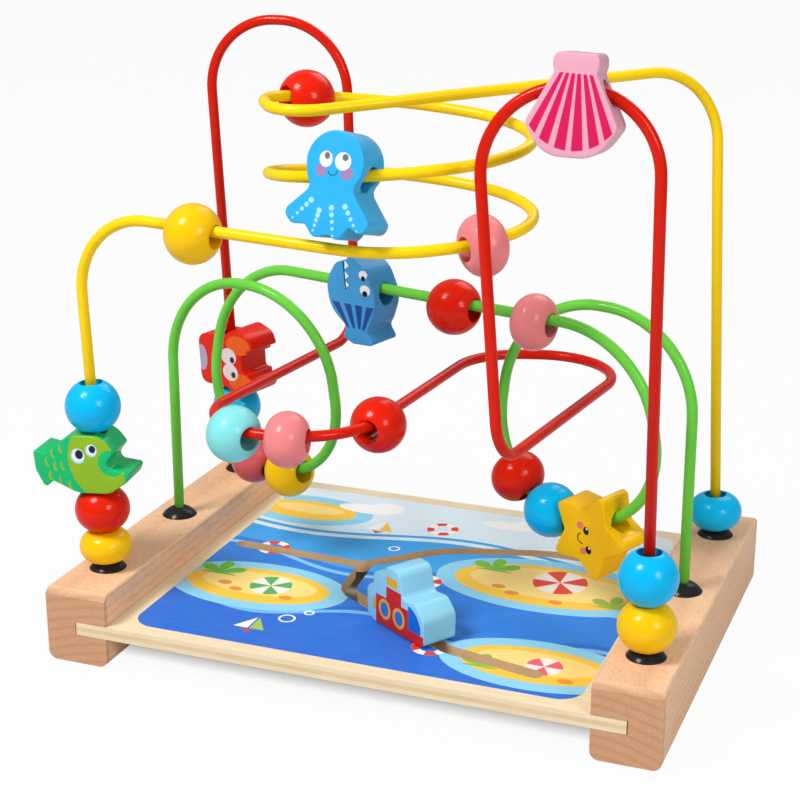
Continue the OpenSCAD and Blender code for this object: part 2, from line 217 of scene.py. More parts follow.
def deeper(colour, share):
    """The same colour with some light taken out."""
    return tuple(part * (1.0 - share) for part in colour[:3]) + (1.0,)


def pooled(point, colour, share):
    """A thick paint's colour, deeper where it has pooled, and the drift that says where."""
    drift = point.noise(pool_scale)
    return drift.mix(deeper(colour, share), colour), drift


def lacquer_over(paint, drift, shader, point, sheen, ripple):
    """Feeds a paint to a shader under lacquer whose sheen drifts and whose surface ripples."""
    feed(paint, shader, "Base Color")
    feed(drift * sheen_swing + sheen, shader, "Roughness")
    feed_bump(point.noise(ripple_scale), shader, ripple, ripple_height)


def gloss_paint(name, colour):
    material, shader, point = new_finish(name, 0.25, 0.22)
    paint, drift = pooled(point, colour, 0.1)
    lacquer_over(paint, drift, shader, point, 0.2, 0.06)
    return material


def wire_coating(name, colour):
    material, shader, point = new_finish(name, 0.3, 0.2)
    drift = point.noise(30.0)
    feed(drift.mix(deeper(colour, 0.04), colour), shader, "Base Color")
    feed(drift * 0.08 + 0.25, shader, "Roughness")
    feed_bump(point.noise(700.0), shader, 0.02, 0.2 * MM)
    return material


paints = {
    "yellow": ink(1.0, 0.79, 0.02),
    "red": ink(0.90, 0.12, 0.0),
    "blue": ink(0.0, 0.74, 0.97),
    "pink": ink(0.95, 0.54, 0.55),
    "rose": ink(0.87, 0.38, 0.40),
    "aqua": ink(0.53, 0.89, 0.90),
}
bead_paint = {name: gloss_paint(name + "_bead_paint", colour) for name, colour in paints.items()}
wire_paint = {
    "yellow_wire": wire_coating("yellow_wire_coating", ink(1.0, 0.84, 0.03)),
    "red_wire": wire_coating("red_wire_coating", ink(0.84, 0.10, 0.0)),
    "green_wire": wire_coating("green_wire_coating", ink(0.43, 0.82, 0.27)),
}
print("paints:", ", ".join(bead_paint), "and", len(wire_paint), "coatings")

# %% [markdown]
# ## Beech
# A rail is one stick of beech. Growth rings are long tubes round a heart that lies outside the stick, so the
# distance from that heart gives lines along the sides and arcs on the ends from one sum. The ends drink more
# varnish and come out darker. Short dark flecks are what makes beech look like beech.

# %% Beech rails
heart_aside = 20 * MM
heart_below = 70 * MM
ring_pace = 1450.0
end_skin = 2 * MM


def beech(name, heart_x, end_y):
    """Beech with its heart at heart_x and its end grain beyond end_y."""
    material, shader, point = new_finish(name, 0.42, 0.12)
    wander = point.stretched((1.0, 0.1, 1.0)).noise(30.0)
    across = (point.along((1, 0, 0)) - heart_x) ** 2.0 + (point.along((0, 0, 1)) + heart_below) ** 2.0
    rings = ((across ** 0.5 * ring_pace + wander * 5.0).sine() * 0.5 + 0.5) ** 3.0
    flecks = (point.stretched((1.0, 0.16, 1.0)).noise(1400.0, 1.0) - 0.62) * 6.0
    broad = point.stretched((1.0, 0.2, 1.0)).noise(18.0)
    on_ends = (point.along((0, 1, 0)).size() - end_y).inside(3 * MM)
    wood = (rings * (on_ends * 0.35 + 0.35)).mix(ink(0.96, 0.79, 0.64), ink(0.85, 0.64, 0.48))
    wood = (broad * 0.5).mix(wood, ink(0.93, 0.73, 0.56))
    wood = (flecks.inside(1.0) * 0.3).mix(wood, ink(0.74, 0.51, 0.36))
    wood = (on_ends * 0.55).mix(wood, ink(0.68, 0.47, 0.33))
    feed(wood, shader, "Base Color")
    feed(rings * 0.08 + 0.38, shader, "Roughness")
    feed_bump(rings + flecks.inside(1.0), shader, 0.12, 0.3 * MM)
    return material


def dress(node, material):
    """Gives a CAD node its finish."""
    mesh = nodes[node].data
    mesh.materials.clear()
    mesh.materials.append(material)


for side, heart in (("left_rail", heart_aside), ("right_rail", -heart_aside)):
    low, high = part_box(side)
    dress(side, beech(side + "_beech", (low.x + high.x) / 2 + heart, high.y - end_skin))
print("rails:", [round(v / MM) for v in high - low], "mm")

# %% [markdown]
# ## Masks
# The panel and the figures carry prints. A print could be painted as an image, but masks stay sharp at any
# size and can be changed in one line. Each mask is 1 inside a shape and 0 outside, and comes from a distance
# to the shape's edge in millimetres.


# %% Masks that draw prints
def oval(u, v, centre, radii):
    """Inside of an oval, from its centre and its two radii in millimetres."""
    reach = (((u - centre[0]) / radii[0]) ** 2.0 + ((v - centre[1]) / radii[1]) ** 2.0) ** 0.5
    return ((1.0 - reach) * min(radii)).inside()


def block(u, v, low, high):
    """Inside of an upright rectangle."""
    wide = (high[0] - low[0]) / 2 - (u - (high[0] + low[0]) / 2).size()
    tall = (high[1] - low[1]) / 2 - (v - (high[1] + low[1]) / 2).size()
    return wide.lower(tall).inside()


def any_of(masks):
    """One mask over all of these."""
    total = masks[0]
    for mask in masks[1:]:
        total = total.higher(mask)
    return total


def ovals(u, v, *places):
    """Several ovals as one mask, each a centre and two radii."""
    return any_of([oval(u, v, centre, radii) for centre, radii in places])


def waves(u, v, height, swell, length, start):
    """Depth under a wavy line."""
    return height + (u / length + start).sine() * swell - v


def ring_of(u, v, centre, radius, width):
    """A band of one width inside a round edge."""
    return oval(u, v, centre, (radius, radius)) - oval(u, v, centre, (radius - width, radius - width))


def bearing(across, up):
    """The angle round a point of a place that is this far across and up from it."""
    return up.math("ARCTAN2", up, across)


def spokes(u, v, centre, count):
    """1 on every other slice of a round cake."""
    return (bearing(u - centre[0], v - centre[1]) * count).sine().inside(0.3)


# %% [markdown]
# ## Motifs of the panel's print
# The print is a plain seaside. Each small function lays one kind of motif over the picture so far, so that
# motifs can be moved or left out without touching the rest.


# %% Shades, swim rings and sails
def draw_shades(u, v, picture):
    """Striped beach shades and a striped ball."""
    shades = [
        ((64, 20), 13, 4.0, ink(0.93, 0.24, 0.12)),
        ((-62, -32), 10, 4.0, ink(0.33, 0.70, 0.36)),
        ((82, -66), 8, 3.0, ink(0.95, 0.36, 0.45)),
    ]
    for centre, radius, count, tint in shades:
        disc = oval(u, v, centre, (radius, radius))
        picture = disc.mix(picture, ink(0.99, 0.96, 0.92))
        picture = (disc * spokes(u, v, centre, count)).mix(picture, tint)
    return picture


def draw_buoys(u, v, picture):
    """Red and white swim rings."""
    for centre in ((-80, 10), (30, -66), (-10, 62), (4, -2)):
        band = ring_of(u, v, centre, 8.0, 3.6)
        picture = band.mix(picture, ink(0.99, 0.97, 0.95))
        picture = (band * spokes(u, v, centre, 4.0)).mix(picture, ink(0.90, 0.20, 0.10))
    return picture


def draw_sails(u, v, picture):
    """Small boats of two sails and a hull."""
    boats = [
        (-40, 52, ink(1.0, 0.78, 0.16)),
        (88, 52, ink(0.95, 0.45, 0.30)),
        (-52, -74, ink(0.60, 0.80, 0.30)),
    ]
    for x, y, tint in boats:
        across = u - x
        up = v - y
        sail = (9.0 - up - across.size() * 1.6).lower(up + 3.0).lower(across.size() - 0.5).inside()
        hull = (7.0 + up - across.size()).lower(-3.8 - up).lower(up + 7.0).inside()
        picture = sail.mix(picture, ink(0.99, 0.98, 0.96))
        picture = (sail * across.inside()).mix(picture, tint)
        picture = hull.mix(picture, ink(0.80, 0.24, 0.14))
    return picture


# %% [markdown]
# The leaves of a palm tuft come from one sum: the radius swells and shrinks with the angle, and only the
# upper half is kept. Bubbles, pebbles and clouds are rings and ovals.


# %% Palms and trifles
def draw_leaves(u, v, picture):
    """Palm tufts: leaves that fan out round a point."""
    tufts = [(30, 24, 13, 0.45), (94, 2, 12, 0.62), (-92, -26, 13, 0.35), (56, -74, 11, 0.55)]
    for x, y, radius, light in tufts:
        across = u - x
        up = v - y
        leaf = (bearing(across, up) * 3.0).sine().size() ** 0.5 * radius
        tuft = (leaf - (across ** 2.0 + up ** 2.0) ** 0.5).lower(up + 2.0).inside()
        picture = tuft.mix(picture, ink(light, 0.76, 0.24))
    return picture


def draw_trifles(u, v, picture):
    """Bubbles, pebbles and clouds."""
    bubbles = [(-40, -62, 4), (-33, -53, 2.5), (6, -26, 4), (14, -17, 2.5), (-24, 30, 3), (92, 66, 4)]
    foam = any_of([ring_of(u, v, (x, y), r, 1) for x, y, r in bubbles])
    picture = foam.mix(picture, ink(0.94, 0.98, 1.0))
    stones = [(-84, -36), (-76, -41), (38, 6), (46, 1), (98, 20), (68, -2), (-50, -42), (94, -76)]
    pebbles = any_of([oval(u, v, (x, y), (3.4, 2.2)) for x, y in stones])
    picture = pebbles.mix(picture, ink(0.93, 0.60, 0.16))
    puffs = [(-56, 74, 16, 6), (-46, 78, 9, 7), (20, 78, 14, 5), (28, 81, 8, 6)]
    clouds = any_of([oval(u, v, (x, y), (rx, ry)) for x, y, rx, ry in puffs])
    return clouds.mix(picture, ink(0.99, 0.99, 0.99))


# %% [markdown]
# The seaside itself is laid from back to front: sky, three bands of sea with a pale crest each, then shoals,
# beaches and dunes, and last the motifs.


# %% The seaside
def seaside(u, v):
    """The print's colours over the panel, in millimetres from its middle."""
    sky = ((v - 20.0) / 80.0).inside(1.0).mix(ink(0.66, 0.87, 0.97), ink(0.88, 0.95, 0.99))
    far = waves(u, v, 46.0, 7.0, 27.0, 1.2)
    middle = waves(u, v, 8.0, 9.0, 21.0, 0.0)
    near = waves(u, v, -46.0, 8.0, 17.0, 2.0)
    picture = far.inside().mix(sky, ink(0.16, 0.64, 0.94))
    picture = (2.0 - (far - 5.0).size()).inside().mix(picture, ink(0.85, 0.95, 0.99))
    picture = middle.inside().mix(picture, ink(0.05, 0.50, 0.90))
    picture = (1.6 - (middle - 6.0).size()).inside().mix(picture, ink(0.50, 0.80, 0.97))
    picture = near.inside().mix(picture, ink(0.03, 0.42, 0.84))
    picture = (1.6 - (near - 6.0).size()).inside().mix(picture, ink(0.42, 0.74, 0.97))
    beaches = [(60, 14, 46, 22), (-68, -34, 36, 18), (78, -66, 34, 16), (-84, 62, 26, 12)]
    shoals = [(x, y, rx + 9, ry + 7) for x, y, rx, ry in beaches]
    dunes = [(x, y + 2, rx - 7, ry - 6) for x, y, rx, ry in beaches]
    tints = (ink(0.55, 0.84, 0.96), ink(0.99, 0.80, 0.24), ink(1.0, 0.88, 0.52))
    for shore, tint in zip((shoals, beaches, dunes), tints):
        patches = any_of([oval(u, v, (x, y), (rx, ry)) for x, y, rx, ry in shore])
        picture = patches.mix(picture, tint)
    for draw in (draw_leaves, draw_shades, draw_buoys, draw_sails, draw_trifles):
        picture = draw(u, v, picture)
    return picture


# %% [markdown]
# ## The printed panel
# The panel is three-ply birch: pale faces over a darker core show at its edges. The slot was sawn after the
# print, so its walls are bare and a little brown. The print fills the face inside a bare border with round
# corners. These sizes are in millimetres, and depths are from the top face.

# %% The panel's sizes
panel_low, panel_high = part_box("maze_panel")
panel_mid = (panel_low + panel_high) / 2
print_half = Vector((104.0, 92.0))
print_corner = 11.0
print_skin = 0.05
core_depth = 3.0
core_half = 1.0
wall_depth = 5.5
pale_birch = ink(0.97, 0.91, 0.80)


# %% Printed plywood
def printed_ply():
    """Three-ply birch with the seaside on its top face."""
    material, shader, point = new_finish("printed_plywood", 0.4, 0.1)
    u = point.along((1, 0, 0)) / MM - panel_mid.x / MM
    v = point.along((0, 1, 0)) / MM - panel_mid.y / MM
    w = point.along((0, 0, 1)) / MM - panel_high.z / MM
    grain = point.stretched((0.12, 1.0, 1.0)).noise(500.0)
    ply_face = grain.mix(pale_birch, ink(0.90, 0.80, 0.64))
    core = grain.mix(ink(0.92, 0.83, 0.67), ink(0.87, 0.75, 0.57))
    sawn = grain.mix(ink(0.92, 0.79, 0.62), ink(0.83, 0.68, 0.50))
    in_core = (core_half - (w + core_depth).size()).inside(0.3)
    bare = in_core.mix(ply_face, core)
    reach_u = (u.size() - (print_half.x - print_corner)).higher(0.0)
    reach_v = (v.size() - (print_half.y - print_corner)).higher(0.0)
    in_print = (print_corner - (reach_u ** 2.0 + reach_v ** 2.0) ** 0.5).inside()
    on_face = (w + print_skin).inside(0.02)
    in_slot = in_print * (w + wall_depth).inside() * (1.0 - on_face)
    fade = grain * 0.06
    picture = fade.mix(seaside(u, v), pale_birch)
    feed((in_print * on_face).mix(in_slot.mix(bare, sawn), picture), shader, "Base Color")
    feed(0.5 - in_print * on_face * 0.15, shader, "Roughness")
    feed_bump(grain, shader, 0.05, 0.3 * MM)
    return material


dress("maze_panel", printed_ply())
print("panel print:", [2 * round(v) for v in print_half], "mm")

# %% [markdown]
# ## Wires
# Each wire is one bent steel rod. The CAD surface is right but comes as loose flat triangles, so a copy is
# welded and shaded smooth. Where one bend meets the next, it has steps finer than a hair that would catch
# the light, so corners closer than a fifth of a millimetre are merged too.

# %% Smooth copies
weld_size = 0.002 * MM
step_size = 0.2 * MM
sliver_size = 0.02 * MM


def finish_piece(bm, name, material, node, sharp):
    """Turns a bmesh into a shaded piece that stands for a CAD node and moves with its body."""
    body = body_of_node[node]
    mesh = bpy.data.meshes.new(name)
    bm.to_mesh(mesh)
    bm.free()
    mesh.shade_smooth()
    mesh.set_sharp_from_angle(angle=math.radians(sharp))
    mesh.materials.append(material)
    piece = bpy.data.objects.new(name, mesh)
    bpy.context.scene.collection.objects.link(piece)
    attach(piece, body)
    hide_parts(node)
    return piece


def welded(node):
    """A bmesh of a CAD node with its loose triangles joined."""
    bm = bmesh.new()
    bm.from_mesh(nodes[node].data)
    bmesh.ops.remove_doubles(bm, verts=bm.verts, dist=weld_size)
    return bm


for wire, coating in wire_paint.items():
    bm = welded(wire)
    bmesh.ops.remove_doubles(bm, verts=bm.verts, dist=step_size)
    bmesh.ops.dissolve_degenerate(bm, edges=bm.edges, dist=sliver_size)
    made = finish_piece(bm, wire + "_rod", coating, wire, 60)
    print(wire, len(made.data.polygons), "faces")

# %% [markdown]
# ## Where a bead sits
# A bead's bore follows its wire. On a straight that is the way the bead slides, and on a bend it is square
# to both the hinge and the spoke from the hinge to the bead. These helpers find that direction, the reach of
# a piece along it, and the turn that lays a new piece on it.


# %% Where a bead sits
def bore_direction(node):
    """The way a piece's bore points: along its slide, or across its hinge's spoke."""
    joint = joints[body_of_node[node]]
    axis = Vector(joint["axis"])
    if joint["type"] == "slide":
        return axis.normalized()
    low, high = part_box(node)
    return axis.cross((low + high) / 2 - Vector(joint["pos_m"])).normalized()


def reach_along(node, axis):
    """Lowest and highest place of a node along an axis."""
    places = [corner.co.dot(axis) for corner in nodes[node].data.vertices]
    return min(places), max(places)


def square_to(axis, rough):
    """The direction nearest to a rough one that is square to an axis."""
    return (rough - axis * rough.dot(axis)).normalized()


def place_of(axis, centre):
    """The turn and shift that bring a piece from round Z at the origin to its place."""
    rough = Vector((0, 0, 1)) if abs(axis.z) < 0.9 else Vector((1, 0, 0))
    x = square_to(axis, rough)
    turn = Matrix((x, axis.cross(x), axis)).transposed().to_4x4()
    return Matrix.Translation(centre) @ turn


# %% [markdown]
# ## Turned beads
# A bead comes off a lathe, so it is made like on one: spinning a point draws the curve of its side, and
# spinning that curve round the bore makes the bead. The CAD node gives its length and its width.

# %% A bead on the lathe
bead_bore = 10.5 * MM
bead_lip = 0.6 * MM
side_steps = 28
round_steps = 72


def turned_bead(node, material):
    """A bead on its wire, with a side that is one arc from mouth to mouth."""
    axis = bore_direction(node)
    low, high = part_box(node)
    centre = (low + high) / 2
    first, last = reach_along(node, axis)
    height = last - first
    width = 2 * max((corner.co - centre - axis * (corner.co - centre).dot(axis)).length
                    for corner in nodes[node].data.vertices)
    mouth = bead_bore / 2 + bead_lip
    # The arc passes both mouths and the widest place, and hub is how far its centre is from the bore's line.
    hub = ((width / 2) ** 2 - mouth ** 2 - (height / 2) ** 2) / (width - 2 * mouth)
    sweep = 2 * math.atan2(height / 2, mouth - hub)
    bm = bmesh.new()
    start = bm.verts.new((mouth, 0, -height / 2))
    bmesh.ops.spin(bm, geom=[start], cent=(hub, 0, 0), axis=(0, -1, 0), angle=sweep, steps=side_steps)
    ends = sorted((v for v in bm.verts if len(v.link_edges) == 1), key=lambda v: v.co.z)
    inner = [bm.verts.new((bead_bore / 2, 0, end.co.z)) for end in ends]
    for end, bore in zip(ends, inner):
        bm.edges.new((end, bore))
    bm.edges.new(inner)
    bmesh.ops.spin(bm, geom=bm.verts[:] + bm.edges[:], cent=(0, 0, 0), axis=(0, 0, 1),
                   angle=2 * math.pi, steps=round_steps, use_merge=True)
    bmesh.ops.remove_doubles(bm, verts=bm.verts, dist=weld_size)
    bmesh.ops.recalc_face_normals(bm, faces=bm.faces)
    bm.transform(place_of(axis, centre))
    return finish_piece(bm, node + "_turned", material, node, 50)


figures = ["fish_bead", "octopus_bead", "whale_bead", "shell_bead", "crab_bead", "star_bead"]
round_beads = [node for node in nodes if node.endswith("_bead") and node not in figures]
for node in round_beads:
    turned_bead(node, bead_paint[node.split("_")[-2]])
print("beads:", len(round_beads))

# %% [markdown]
# ## Collars
# A black domed collar hides each hole where a wire enters the wood. It is moulded, so its dome is smooth. A
# welded copy has its many triangles dissolved into whole faces, which then shade without creases.


# %% Collars
def black_moulding():
    material, shader, point = new_finish("black_collar_plastic", 0.3, 0.2)
    speck = point.noise(900.0)
    feed(speck.mix(ink(0.09, 0.09, 0.10), ink(0.16, 0.16, 0.17)), shader, "Base Color")
    feed(speck * 0.2 + 0.22, shader, "Roughness")
    return material


def whole_faces(node, degrees):
    """A welded copy of a CAD node whose triangles are dissolved into whole faces."""
    bm = welded(node)
    bmesh.ops.dissolve_limit(bm, angle_limit=math.radians(degrees), verts=bm.verts, edges=bm.edges)
    return bm


collar_plastic = black_moulding()
collars = [node for node in nodes if node.startswith("collar")]
for node in collars:
    finish_piece(whole_faces(node, 1), node + "_moulding", collar_plastic, node, 50)
print("collars:", len(collars))

# %% [markdown]
# ## Flat figures
# The figures are sawn from board and lean with their wires, so each print is drawn in the figure's own
# plane: u runs right, v up and w outwards. The largest flat face tells which way is out, and the bore tells
# which way is right or up.

# %% A figure's own plane
flat_degrees = 0.5


def figure_axes(node):
    """Right, up and outward directions of a figure, from its largest flat face and its bore."""
    bm = whole_faces(node, flat_degrees)
    out = max(bm.faces, key=lambda face: face.calc_area()).normal.copy()
    bm.free()
    out = -out if out.y > 0 else out
    bore = bore_direction(node)
    if abs(bore.z) > 0.9:
        up = bore if bore.z > 0 else -bore
        return up.cross(out), up, out
    right = square_to(out, bore if bore.x > 0 else -bore)
    return right, out.cross(right), out


def figure_plane(node, point, axes, middle):
    """u, v and w over a board in millimetres, where middle says what u and v are at the solid's middle."""
    flows = []
    for axis, offset in zip(axes, middle + (0.0,)):
        low, high = reach_along(node, axis)
        flows.append(point.along(axis) / MM + (offset - (low + high) / 2 / MM))
    return flows


# %% [markdown]
# ## Painted boards
# A sawn board is sanded round at its rims before it is painted. The copy has whole faces instead of many
# triangles, so that the bevel runs along the rims only.

# %% A board with soft rims
board_rim = 0.7 * MM


def rounded_board(node, out_axis, material):
    """A copy of a board with its front and back rims bevelled."""
    bm = whole_faces(node, flat_degrees)
    flat = {face for face in bm.faces if abs(face.normal.dot(out_axis)) > 0.99}
    pairs = [edge for edge in bm.edges if len(edge.link_faces) == 2]
    rims = [edge for edge in pairs if len(flat & set(edge.link_faces)) == 1]
    bmesh.ops.bevel(bm, geom=rims, offset=board_rim, offset_type="OFFSET", segments=4, profile=0.5,
                    affect="EDGES", clamp_overlap=False, material=-1)
    return finish_piece(bm, node + "_board", material, node, 35)


# %% [markdown]
# ## Prints on boards
# A board's print is a list of layers, each a mask and an ink, laid over the paint on the front face only.
# The depth where that face starts is given in millimetres from the board's middle. The lacquer over print
# and paint is one, so both share its sheen and ripple.

# %% Laying prints over paint
figure_front = 8.6


def layered(base, layers):
    """Lays prints over a base colour, each a mask and an ink."""
    colour = base
    for mask, print_ink in layers:
        colour = mask.mix(colour, print_ink)
    return colour


def printed_board(node, axes, front_depth, colour, middle, draw):
    """Paints a board, prints its front with the layers that draw returns, and rounds its rims."""
    material, shader, point = new_finish(node + "_print", 0.28, 0.22)
    u, v, w = figure_plane(node, point, axes, middle)
    front = (w - front_depth).inside(0.1)
    layers = [(mask * front, print_ink) for mask, print_ink in draw(u, v)]
    paint, drift = pooled(point, colour, 0.08)
    lacquer_over(layered(paint, layers), drift, shader, point, 0.24, 0.05)
    return rounded_board(node, axes[2], material)


def printed_figure(node, colour, middle, draw):
    return printed_board(node, figure_axes(node), figure_front, colour, middle, draw)


white = ink(0.93, 0.93, 0.95)
navy = ink(0.10, 0.13, 0.25)

# %% [markdown]
# ### Fish
# A lime head with two round eyes and a body with small lime scales.


# %% Fish
def draw_fish(u, v):
    lime = ink(0.55, 0.72, 0.13)
    head = oval(u, v, (12, 3), (21, 21)) * (1.0 - oval(u, v, (11.5, 1.2), (6.4, 6.2)))
    head = head * (17.0 - u).inside()
    spots = [(-16, 5), (-12, 7.4), (-19, 1), (-15, -1),
             (-11.6, -0.6), (-17.7, -5.4), (-13, -8), (-8.6, -9.6)]
    scales = any_of([
        oval(u, v, (x, y), (1.3, 2.2)) - oval(u, v, (x + 1, y + 0.6), (1.3, 2.2)) for x, y in spots])
    whites = ovals(u, v, ((-4.2, 4.1), (3.3, 3.6)), ((2.4, 6.9), (2.7, 3.0)))
    middles = ovals(u, v, ((-4.0, 4.4), (2.8, 3.0)), ((2.6, 7.2), (2.2, 2.5)))
    pupils = ovals(u, v, ((-3.5, 4.9), (1.9, 2.2)), ((2.9, 7.5), (1.6, 1.8)))
    return [(head, lime), (scales, lime), (whites, ink(0.68, 0.85, 0.92)), (middles, white), (pupils, navy)]


printed_figure("fish_bead", ink(0.06, 0.74, 0.44), (-3.2, 0.0), draw_fish)

# %% [markdown]
# ### Octopus
# Round eyes that look up, round cheeks, a thin smile, and rows of pale dots that shrink towards the tips.

# %% Octopus
dots_in_row = 5


def dot_of_row(u, v, top, tip, step):
    """One dot on the way from the top of an arm to its tip."""
    radius = 1.15 - 0.16 * step
    return oval(u, v, top.lerp(tip, step / (dots_in_row - 1)), (radius, radius))


def draw_octopus(u, v):
    whites = ovals(u, v, ((-4.0, 8.2), (2.9, 3.2)), ((3.6, 7.0), (3.6, 3.6)))
    pupils = ovals(u, v, ((-3.4, 9.5), (1.2, 1.4)), ((4.7, 8.5), (1.35, 1.4)))
    cheeks = ovals(u, v, ((-6.2, 3.9), (2.5, 2.6)), ((5.3, 2.2), (2.8, 2.7)))
    smile = ring_of(u, v, (-1.0, 3.7), 2.3, 0.45) * (3.5 - v).inside()
    rows = [((-10.5, -8.0), (-18.9, -14.8)), ((-6.9, -12.2), (-9.7, -20.0)),
            ((-1.4, -11.2), (-0.9, -22.4)), ((4.7, -10.9), (9.7, -20.7))]
    dots = any_of([
        dot_of_row(u, v, Vector(top), Vector(tip), step)
        for top, tip in rows for step in range(dots_in_row)])
    return [(dots, ink(0.66, 0.86, 0.97)), (cheeks, ink(0.63, 0.50, 0.70)), (smile, ink(0.13, 0.33, 0.50)),
            (whites, white), (pupils, ink(0.42, 0.45, 0.47))]


printed_figure("octopus_bead", ink(0.19, 0.69, 0.93), (-3.8, -2.2), draw_octopus)

# %% [markdown]
# ### Whale
# It hangs with its tail down: a toothy mouth line, two small eyes and dark stripes that run together at the
# tail.


# %% Whale
def draw_whale(u, v):
    slope = (v - 10.5) * -0.11
    mouth = (0.35 - (u + 3.2 - slope).size()).lower(6.7 - (v - 10.5).size()).inside()
    teeth = any_of([
        ((1.9 - (v - y).size() * 1.1) - (u + 2.6)).lower(u + 3.0).lower(1.7 - (v - y).size()).inside()
        for y in (15.2, 10.2, 6.0)])
    whites = ovals(u, v, ((7.3, 11.7), (2.2, 2.1)), ((8.6, 4.8), (2.9, 2.4)))
    pupils = ovals(u, v, ((7.5, 10.2), (1.2, 1.2)), ((8.5, 3.2), (1.5, 1.4)))
    down = (v * -1.0 - 2.8) / 11.2
    ends = [(-8.4, -1.1), (-1.6, 2.2), (4.9, 5.2), (11.4, 7.5)]
    stripes = any_of([
        (2.1 - down * 1.4 - (u - down * (foot - top) - top).size()).inside() for top, foot in ends])
    stripes = stripes * (5.6 - (v + 8.4).size()).inside()
    return [(teeth, white), (mouth, navy), (whites, white), (pupils, ink(0.07, 0.07, 0.10)),
            (stripes, ink(0.13, 0.28, 0.58))]


printed_figure("whale_bead", ink(0.26, 0.60, 0.84), (0.3, -0.8), draw_whale)

# %% [markdown]
# ### Shell
# Crimson ribs fan out from the hinge over a pale pink scallop.


# %% Shell
def draw_shell(u, v):
    depth = 20.0 - v
    slant = u / depth
    places = (-0.42, -0.25, -0.08, 0.08, 0.25, 0.42)
    ribs = any_of([(0.055 - (slant - place).size()).inside(0.008) for place in places])
    ribs = ribs * oval(u, v, (0, -2.0), (20.0, 20.0)) * (6.8 - v).inside()
    return [(ribs, ink(0.85, 0.11, 0.36))]


printed_figure("shell_bead", ink(0.92, 0.66, 0.75), (0.0, -5.0), draw_shell)

# %% [markdown]
# ### Crab
# It lies on its side on the post, claws to the right, with a joined pair of eyes.


# %% Crab
def draw_crab(u, v):
    belly = oval(u, v, (-12.8, 0.3), (3.4, 6.9))
    claws = ovals(u, v, ((12.8, 9.8), (8.0, 5.0)), ((12.8, -10.2), (8.0, 5.0)))
    whites = ovals(u, v, ((5.8, 3.2), (5.1, 4.5)), ((6.3, -5.2), (5.1, 4.6)))
    pupils = ovals(u, v, ((8.1, 1.6), (1.5, 1.7)), ((8.3, -6.4), (1.5, 1.7)))
    return [(belly, ink(0.70, 0.64, 0.76)), (claws, ink(0.92, 0.36, 0.03)), (whites, ink(0.90, 0.84, 0.86)),
            (pupils, ink(0.25, 0.16, 0.22))]


printed_figure("crab_bead", ink(0.90, 0.12, 0.0), (3.8, 0.0), draw_crab)

# %% [markdown]
# ### Star
# A small face turned on its side: eyes to the right of the smile, a pink cheek by each.


# %% Star
def draw_star(u, v):
    mid = v + 3.8
    cheeks = ovals(u, mid, ((-1.9, 5.4), (1.9, 1.7)), ((-3.2, -6.4), (1.9, 1.7)))
    eyes = ovals(u, mid, ((0.7, 2.6), (1.5, 1.9)), ((-0.3, -6.2), (1.5, 1.9)))
    glints = ovals(u, mid, ((1.3, 3.4), (0.5, 0.6)), ((0.3, -5.4), (0.5, 0.6)))
    smile = ring_of(u, mid, (-2.4, -0.6), 2.7, 0.6) * (u * -1.0 - 2.6).inside()
    return [(cheeks, ink(0.93, 0.48, 0.36)), (eyes, ink(0.13, 0.08, 0.08)), (glints, white),
            (smile, ink(0.16, 0.10, 0.08))]


printed_figure("star_bead", ink(1.0, 0.77, 0.0), (0.0, -5.5), draw_star)
print("figures:", ", ".join(figures))

# %% [markdown]
# ## Boat
# The boat is a board like the figures, light blue all round, with a red steamer printed on its front.

# %% Boat
boat_front = 8.1


def draw_boat(u, v):
    ochre = ink(0.90, 0.68, 0.10)
    sea = block(u, v, (9.6, 5.4), (18.6, 16.6)) * oval(u, v, (7.0, 6.0), (12.0, 11.5))
    hull = any_of([block(u, v, (-14.4, -1.0), (9.6, 14.4)), block(u, v, (-6.6, 13.0), (4.6, 20.3)),
                   block(u, v, (8.0, -1.0), (20.4, 5.6))])
    funnel = block(u, v, (-6.2, 21.2), (1.6, 25.4))
    rims = ovals(u, v, ((-7.9, 8.6), (4.5, 4.9)), ((2.7, 8.0), (4.5, 4.9)))
    panes = ovals(u, v, ((-7.9, 8.6), (2.9, 3.4)), ((2.7, 8.0), (2.9, 3.4)))
    stern = block(u, v, (-16.6, 6.0), (-14.4, 12.0))
    return [(sea, ink(0.10, 0.42, 0.80)), (stern, ochre), (hull, ink(0.82, 0.14, 0.0)),
            (funnel, ochre), (rims, ink(0.95, 0.66, 0.18)), (panes, ink(0.20, 0.47, 0.78))]


def boat_axes():
    """Right along the boat's slide, up, and out through its printed front."""
    right = Vector(joints["boat"]["axis"]).normalized()
    up = Vector((0, 0, 1))
    return right, up, right.cross(up)


printed_board("boat", boat_axes(), boat_front, ink(0.58, 0.85, 0.96), (-0.3, 15.0), draw_boat)
print("boat painted")

# %% [markdown]
# ## Under the boat
# A peg goes down through the slot, and a disc below it keeps the boat from being lifted out. Both are bare
# birch, held by one steel screw. The CAD shapes are plain, so they only need their finishes.


# %% Bare birch and steel
def bare_birch():
    material, shader, point = new_finish("bare_birch", 0.6)
    grain = point.stretched((1.0, 1.0, 0.1)).noise(700.0)
    feed(grain.mix(ink(0.93, 0.84, 0.69), ink(0.82, 0.68, 0.50)), shader, "Base Color")
    feed_bump(grain, shader, 0.15, 0.3 * MM)
    return material


def bright_steel():
    material, shader, point = new_finish("bright_steel", 0.35)
    shader.inputs["Metallic"].default_value = 1.0
    brushed = point.noise(2000.0)
    feed(brushed.mix(ink(0.70, 0.70, 0.72), ink(0.82, 0.82, 0.84)), shader, "Base Color")
    feed(brushed * 0.2 + 0.25, shader, "Roughness")
    return material


peg_birch = bare_birch()
dress("boat_peg", peg_birch)
dress("boat_keeper", peg_birch)
dress("boat_screw", bright_steel())
print("peg, keeper and screw dressed")

